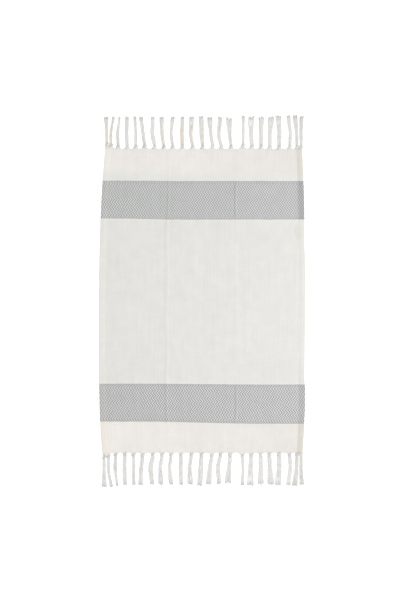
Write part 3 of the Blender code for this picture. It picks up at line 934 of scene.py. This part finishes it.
# %% One brush of fibres
GOLDEN_TURN, FIBRE_RADIUS = 2.39996, 0.20 * MM
needle = add(tuft, "points", add(tuft, "line", (0, 0, 0), (0, 0, 1)), {"Count": 4})
needles = add(tuft, "copy", needle, {"Amount": tuft_in["Fibres"]})
needle_number, up_needle = needles.outputs["Duplicate Index"], add(tuft, "share")
splayed = add(tuft, "MULTIPLY", add(tuft, "POWER", up_needle, 1.4), tuft_in["Fibre spread"])
needle_spread = add(tuft, "MULTIPLY_ADD", yarn_radius, 0.45, splayed)
needle_turn = add(tuft, "MULTIPLY", needle_number, GOLDEN_TURN)
needle_share = add(tuft, "MULTIPLY_ADD", add(tuft, "luck", needle_number), 0.4, 0.6)
needle_length = add(tuft, "MULTIPLY", needle_share, tuft_in["Fibre length"])
needle_up = add(tuft, "MULTIPLY", needle_length, up_needle)
needle_xy = [
    add(tuft, "MULTIPLY", add(tuft, swing, needle_turn), needle_spread)
    for swing in ("COSINE", "SINE")
]
bent = add(tuft, "move", needles, {"Position": add(tuft, "join", *needle_xy, needle_up)})
frayed = add(tuft, "store", bent, {"Name": "fray", "Value": needle_up})
thin = add(tuft, "circle", {"Resolution": 3, "Radius": FIBRE_RADIUS})
taper = add(tuft, "MULTIPLY_ADD", up_needle, -0.75, 1.0)
fibre_sizes = {"Profile Curve": thin, "Scale": taper, "Fill Caps": True}
brush_mesh = add(tuft, "tube", frayed, fibre_sizes)

# %% A brush on every tip
at_tip = add(tuft, "GREATER_THAN", told["tip"], 0.99)
tangent = add(tuft, "tangent")
tangent_y = add(tuft, "split", tangent).outputs["Y"]
facing = add(tuft, "SIGN", add(tuft, "MULTIPLY", tangent_y, outwards))
outward = add(tuft, "VECTOR_SCALE", tangent, facing)
brush_turn = add(tuft, "turn", {"Vector": outward}, axis="Z")
brush_size = add(tuft, "MULTIPLY_ADD", luck, 0.4, 0.75)
brushes = add(
    tuft, "set on", lucky,
    {"Selection": at_tip, "Instance": brush_mesh, "Rotation": brush_turn, "Scale": brush_size},
)

# %% Join yarns and brushes
everything = add(tuft, "GeometryNodeJoinGeometry", tubes)
tuft.links.new(brushes.outputs[0], everything.inputs[0])
close_tree(tuft, everything, tuft_in["Material"], 0.05 * MM)

# %% [markdown]
# ## Plied cotton yarn
#
# The warp yarn is three singles plied together, so a spiral groove runs round it every few
# millimetres. Where it is cut the plies open, and painted shade darkens the cut end. A few groups
# hold creamier yarn. The shader reads the numbers that the tree stored.

# %% The yarn material
PLY_PITCH, PLIES = 3.6 * MM, 3
yarn_cotton, ply = new_material("plied_cotton_yarn")
seen = {
    name: add(ply, "seen", attribute_name=name).outputs["Fac"]
    for name in ("along", "tip", "luck", "cream", "knotted", "greyer")
}
around = add(ply, "seen", attribute_name="around").outputs["Vector"]
around_parts = add(ply, "split", around).outputs
angle = add(ply, "ARCTAN2", around_parts["Y"], around_parts["X"])
plies = add(ply, "MULTIPLY", angle, PLIES / (2 * math.pi))
spiral = add(ply, "MULTIPLY_ADD", seen["along"], 1 / PLY_PITCH, plies)
in_ply = add(ply, "FRACT", spiral)
ply_arch = add(ply, "MULTIPLY", in_ply, add(ply, "SUBTRACT", 1.0, in_ply))
ply_height = add(ply, "MULTIPLY", ply_arch, 4.0)

# %% Colour of the yarn
YARN_WHITE, YARN_CREAM = linear("#f0efec"), linear("#efe7da")
# The cut ends are painted darker, as shade between their opened fibres.
# The knots are darker where they press the fibres together, and painted shade darkens their crevices.
CUT_SHADE, KNOT_GREY_AND_SHADE = linear("#e2e1df"), linear("#e5e4e2")
# By the last weft a yarn still has the colour of the cloth; from there on it is painted greyer, as
# shade between the yarns of the bundle.
bundle_shade_share = add(ply, "range", seen["along"], 10 * MM, 18 * MM)
# The cream fades towards the cut end, where washing has bleached it, and starts outside the cloth.
cream_share = add(ply, "range", seen["along"], 8 * MM, 14 * MM)
cream_fades = add(ply, "range", seen["along"], 45 * MM, 82 * MM, 1.0, 0.1)
for factor in (cream_fades, seen["cream"]):
    cream_share = add(ply, "MULTIPLY", cream_share, factor)
cut_shade_share = add(ply, "POWER", seen["tip"], 0.8)
yarn_colour = WARP
layers = (bundle_shade_share, YARN_WHITE), (cream_share, YARN_CREAM), (cut_shade_share, CUT_SHADE)
for share, colour in (*layers, (seen["knotted"], KNOT_GREY_AND_SHADE)):
    yarn_colour = add(ply, "blend", share, yarn_colour, colour)
# Painted shade darkens the grooves between the plies; some yarns and the greyer groups are darker too.
PLY_SHADE, LUCK_SHADE, GREYER_SHADE = 0.12, 0.08, 0.12
ply_shade = add(ply, "MULTIPLY_ADD", ply_height, PLY_SHADE, 1 - PLY_SHADE)
yarn_luck = add(ply, "MULTIPLY_ADD", seen["luck"], LUCK_SHADE, 0.95)
yarn_grey = add(ply, "MULTIPLY_ADD", seen["greyer"], -GREYER_SHADE, yarn_luck)
yarn_colour = add(ply, "VECTOR_SCALE", yarn_colour, add(ply, "MULTIPLY", ply_shade, yarn_grey))
yarn_bump = add(ply, "bump", {"Strength": 0.6, "Distance": 0.3 * MM, "Height": ply_height})
surface(ply, {
    "Base Color": yarn_colour, "Normal": yarn_bump, "Roughness": 0.9, "Specular IOR Level": 0.25,
    "Sheen Weight": 0.15, "Sheen Roughness": 0.6,
})

# %% Run the tree for both ends
fringes = {}
for seed, name in enumerate(ENDS, 3):
    guide = path_mesh(f"fringe_yarns_{name}", fringe_paths(name), FRINGE_COLUMNS)
    fringes[name] = run_tree(guide, tuft, {
        "Yarn thickness": YARN, "Sides": 6, "Points": 30, "Wander": 2.2 * MM, "Uneven cut": 3.8 * MM,
        "Seed": float(seed), "Fibres": 5, "Fibre length": FIBRE_LENGTH, "Fibre spread": 0.8 * MM,
        "Material": yarn_cotton,
    })

# %% [markdown]
# ## Overhand knots
#
# In an overhand knot the bundle is led once round itself. From above that shows as a short band of
# yarns that slants over the bundle. The tree makes one such band, a few yarns side by side on a
# spiral of a turn and a half whose ends dive back under, and sets it on a point at each knot. The
# point says how its band is turned and how big it is.

# %% One band of yarns on a spiral
tie, tie_in = new_tree(
    "overhand_knots", Int=("Sides", "Strands"),
    Float=("Yarn thickness", "Turns", "Knot width", "Knot height", "Slant"),
)
START_TURN = -0.55  # the band begins under the bundle
straight = add(tie, "points", add(tie, "line", (0, 0, 0), (1, 0, 0)), {"Count": 26})
strands = add(tie, "copy", straight, {"Amount": tie_in["Strands"]})
strand_number = strands.outputs["Duplicate Index"]
wound = add(tie, "share")
turn_on = add(tie, "MULTIPLY", wound, tie_in["Turns"])
turn_late = add(tie, "MULTIPLY_ADD", strand_number, 0.03, START_TURN)
wind = add(tie, "MULTIPLY", add(tie, "ADD", turn_on, turn_late), 2 * math.pi)

# %% The spiral's size, smaller at both of its ends
swell = add(tie, "SINE", add(tie, "MULTIPLY", wound, math.pi))
swell = add(tie, "POWER", add(tie, "MAXIMUM", swell, 0.0), 0.25)
strand_radius = add(tie, "MULTIPLY", tie_in["Yarn thickness"], 0.5)
knot_xz = []
for label, swing in (("Knot width", "COSINE"), ("Knot height", "SINE")):
    half = add(tie, "MULTIPLY", tie_in[label], 0.5)
    reach = add(tie, "MULTIPLY", add(tie, "SUBTRACT", half, strand_radius), swell)
    knot_xz.append(add(tie, "MULTIPLY", reach, add(tie, swing, wind)))

# %% The strands side by side, slanting
STRAND_SPACE = 0.88  # of a yarn's thickness, because the knot squeezes them
strand_half = add(tie, "MULTIPLY_ADD", tie_in["Strands"], 0.5, -0.5)
strand_space = add(tie, "MULTIPLY", tie_in["Yarn thickness"], STRAND_SPACE)
strand_y = add(tie, "MULTIPLY", add(tie, "SUBTRACT", strand_number, strand_half), strand_space)
slanted = add(tie, "MULTIPLY_ADD", knot_xz[0], tie_in["Slant"], strand_y)
knot_place = add(tie, "join", knot_xz[0], slanted, knot_xz[1])
spiral_strands = add(tie, "move", strands, {"Position": knot_place})
BAND_LENGTH = 24 * MM
band_along = add(tie, "MULTIPLY", wound, BAND_LENGTH)
measured = add(tie, "store", spiral_strands, {"Name": "along", "Value": band_along})
strand_section = yarn_section(tie, tie_in["Sides"], strand_radius)
band_mesh = add(tie, "tube", measured, {"Profile Curve": strand_section, "Fill Caps": True})

# %% A band on every knot, none of it below the table
turned_by, rocked_by, sized_by = (add(tie, "read", name) for name in ("turned", "rocked", "sized"))
knot_angles = add(tie, "join", 0.0, rocked_by, turned_by)
knot_rotation = add(tie, "FunctionNodeEulerToRotation", knot_angles)
knot_copies = add(
    tie, "set on", tie_in["Geometry"],
    {"Instance": band_mesh, "Rotation": knot_rotation, "Scale": sized_by},
)
close_tree(tie, knot_copies, tie_in["Material"], 0.1 * MM)

# %% Run it for both ends
KNOT_COLUMNS = ("turned", "rocked", "sized", "luck", "cream", "knotted", "tassel")
KNOT_HEIGHT = 3.0 * MM
LUCK_RANGES = ((-0.2, 0.2), (-0.35, 0.35), (0.9, 1.06), (0, 1))  # of the first four columns
knots = {}
for name, end in ENDS.items():
    draw, spots = np.random.default_rng(5), []
    for number, (x, tassel) in enumerate(zip(knots_of(end), TASSELS), 1):
        turned, *drawn = (draw.uniform(*limits) for limits in LUCK_RANGES)
        turned += math.pi if name == "foot" else 0.0
        place = (x, end["way"] * (end["knots"] + tassel["out"]), KNOT_HEIGHT)
        spots.append([(*place, turned, *drawn, CREAM[name].get(number, 0.0), 1.0, number)])
    knots[name] = run_tree(path_mesh(f"fringe_knots_{name}", spots, KNOT_COLUMNS), tie, {
        "Yarn thickness": YARN, "Sides": 6, "Strands": 5, "Turns": 1.45, "Knot width": 11.5 * MM,
        "Knot height": 5.6 * MM, "Slant": 0.38, "Material": yarn_cotton,
    })

# %% [markdown]
# ## Hem stitches
#
# Each long side is folded twice and closed with a line of lockstitch in off-white thread. The line
# is read from the function that laid the cloth. The tree walks along it and sets down one stitch
# after another, each a short bent thread whose two ends go down into the cloth.

# %% Sewing thread
TWISTS_TO_THE_METRE = 900.0
thread, sewing = new_material("off_white_sewing_thread")
sewing_place = add(sewing, "ShaderNodeTexCoord").outputs["Object"]
twist = add(sewing, "noise", sewing_place, TWISTS_TO_THE_METRE, 1.0, noise_dimensions="3D")
thread_tone = add(sewing, "blend", twist, linear("#e4e0d6"), linear("#f4f1ea"))
surface(sewing, {"Base Color": thread_tone, "Roughness": 0.7, "Sheen Weight": 0.1})

# %% One stitch
sew, sew_in = new_tree("running_stitches", Float=("Spacing", "Stitch", "Thread"))
STITCH_ARCH, STITCH_SUNK = 0.55 * MM, 0.35 * MM  # its ends go down into the cloth
stitch_ends = [
    add(sew, "join", {"Z": add(sew, "MULTIPLY", sew_in["Stitch"], half)}) for half in (-0.5, 0.5)
]
stitch_points = add(sew, "points", add(sew, "line", *stitch_ends), {"Count": 5})
half_turn = add(sew, "MULTIPLY", add(sew, "share"), math.pi)
stitch_rise = add(sew, "MULTIPLY_ADD", add(sew, "SINE", half_turn), STITCH_ARCH, -STITCH_SUNK)
stitch_bent = add(sew, "move", stitch_points, {"Offset": add(sew, "join", stitch_rise)})
thread_half = add(sew, "MULTIPLY", sew_in["Thread"], 0.5)
thread_circle = add(sew, "circle", {"Resolution": 5, "Radius": thread_half})
stitch_mesh = add(sew, "tube", stitch_bent, {"Profile Curve": thread_circle, "Fill Caps": True})

# %% A row of stitches
hem_path = add(sew, "to curve", sew_in["Geometry"])
places = add(sew, "points", hem_path, {"Length": sew_in["Spacing"]}, mode="LENGTH")
up_first = add(sew, "turn", {"Vector": (0.0, 0.0, 1.0)}, axis="X")
along_hem = {"Rotation": up_first, "Vector": add(sew, "tangent")}
then_along = add(sew, "turn", along_hem, axis="Z", pivot_axis="X")
stitch_copies = add(sew, "set on", places, {"Instance": stitch_mesh, "Rotation": then_along})
close_tree(sew, stitch_copies, sew_in["Material"])

# %% Run it along both hems
HEMS_OPEN = 4 * MM  # the stitches stop this short of each end
hem_lines = []
steps_along = np.linspace(foot_weft + HEMS_OPEN, head_weft - HEMS_OPEN, 240)
for share in (STITCH_INSET / WIDTH, 1 - STITCH_INSET / WIDTH):
    line_x, line_y, _, line_top = lay(share, steps_along)
    hem_lines.append(list(zip(line_x, line_y, line_top + 0.1 * MM)))
stitches = run_tree(path_mesh("hem_stitches", hem_lines, ()), sew, {
    "Spacing": 3.3 * MM, "Stitch": 2.7 * MM, "Thread": 0.5 * MM, "Material": thread,
})

# %% [markdown]
# ## A flat lay for the yarns
#
# The yarn pieces get a map of their own for finished surfaces. Each tassel has one strip of it, which
# its yarns share, because they are the same yarn. Along the strip runs the length of the yarn, and
# across it the way round.

# %% Lay the yarns out flat
LONGEST_YARN = 0.094
ROUND_AND_ROOM = 1.25  # the way round, and room for the faces that pass its seam


def read_numbers(items, name, count, kind=np.float32):
    """The numbers of this name that a mesh keeps for its points, corners or faces."""
    values = np.zeros(count, kind)
    items.foreach_get(name, values)
    return values


def lay_yarns_flat(piece, longest):
    """Gives the piece its map; longest is how far "along" goes."""
    mesh, spots, count = piece.data, piece.data.attributes, len(piece.data.vertices)
    along, fray, tassel = (
        read_numbers(spots[name].data, "value", count) if name in spots else np.zeros(count)
        for name in ("along", "fray", "tassel")
    )
    around = read_numbers(spots["around"].data, "vector", count * 3).reshape(-1, 3)
    corners = read_numbers(mesh.loops, "vertex_index", len(mesh.loops), np.int32)
    starts = read_numbers(mesh.polygons, "loop_start", len(mesh.polygons), np.int32)
    turns = (np.arctan2(around[:, 1], around[:, 0]) / (2 * math.pi) + 0.5)[corners]
    most = np.repeat(np.maximum.reduceat(turns, starts), np.diff([*starts, len(corners)]))
    turns = np.where(most - turns > 0.5, turns + 1.0, turns)  # a face over the seam stays whole
    strip = np.round(tassel[corners]) - 1
    across = (strip + 0.05 + 0.9 * turns / ROUND_AND_ROOM) / (len(TASSELS) + 1)
    length = (along + fray)[corners] / longest
    uv = np.column_stack([0.01 + 0.98 * np.clip(length, 0, 1), np.clip(across, 0, 1)])
    mesh.uv_layers.new(name="OFBake").uv.foreach_set("vector", uv.astype(np.float32).ravel())


for name in ENDS:
    lay_yarns_flat(fringes[name], LONGEST_YARN)
    lay_yarns_flat(knots[name], BAND_LENGTH)

# %% [markdown]
# ## What stands for what
#
# Every piece rides on the towel's one body. The panel stands for the cloth solid and the yarns for
# the two combs.

yarn_pieces = [*fringes.values(), *knots.values()]
for slot, pieces in {"cloth": [panel, stitches], "fringe_yarn": yarn_pieces}.items():
    for piece in pieces:
        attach(piece, "root")
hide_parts("towel_cloth")
for name, piece in fringes.items():
    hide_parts(f"fringe_{name}")

# %% [markdown]
# ## Table, light and camera
#
# The towel lies on a plain white table under the bright even light of a studio, with one large soft
# box high on the right that models the folds. The camera hangs straight above on a long lens, so the
# sides of the towel stay square to the picture.

# %% The table
HALF_TABLE = 12.0
table_mesh = bpy.data.meshes.new("table_top")
corners = [(x * HALF_TABLE, y * HALF_TABLE, 0) for x, y in ((-1, -1), (1, -1), (1, 1), (-1, 1))]
table_mesh.from_pydata(corners, [], [(0, 1, 2, 3)])
table = put_in_scene("table_top", table_mesh)
paper, paper_tree = new_material("white_backdrop_paper")
surface(paper_tree, {
    "Base Color": linear("#f3f3f3"), "Roughness": 1.0, "Specular IOR Level": 0.0,
    "Emission Color": linear("#ffffff"), "Emission Strength": 0.45,
})
table_mesh.materials.append(paper)

# %% Light
SKY, SOFT_BOX = 0.765, 47.0  # the even light from all round, and the soft box in watts
world = bpy.data.worlds.new("studio")
world.use_nodes = True
sky = world.node_tree.nodes["Background"].inputs
sky["Color"].default_value, sky["Strength"].default_value = linear("#ffffff"), SKY
bpy.context.scene.world = world
soft_box = put_in_scene("soft_box", bpy.data.lights.new("soft_box", "AREA"))
soft_box.data.size, soft_box.data.energy = 1.6, SOFT_BOX
soft_box.location = (2.2, -0.4, 2.5)
soft_box.rotation_mode = "QUATERNION"
# A light shines along its own -Z, so its +Z points from the towel's middle to where it hangs.
soft_box.rotation_quaternion = soft_box.location.to_track_quat("Z", "Y")

# %% Camera
SEEN_HEIGHT = 1.4552  # metres of table from the top to the bottom of the picture
LENS, SENSOR = 200.0, 36.0
camera = put_in_scene("camera", bpy.data.cameras.new("camera"))
camera.data.lens, camera.data.sensor_width = LENS, SENSOR
camera.location = (-0.0042, 0.0021, SEEN_HEIGHT * LENS / SENSOR)
bpy.context.scene.camera = camera
bpy.context.scene.view_settings.view_transform = "Standard"
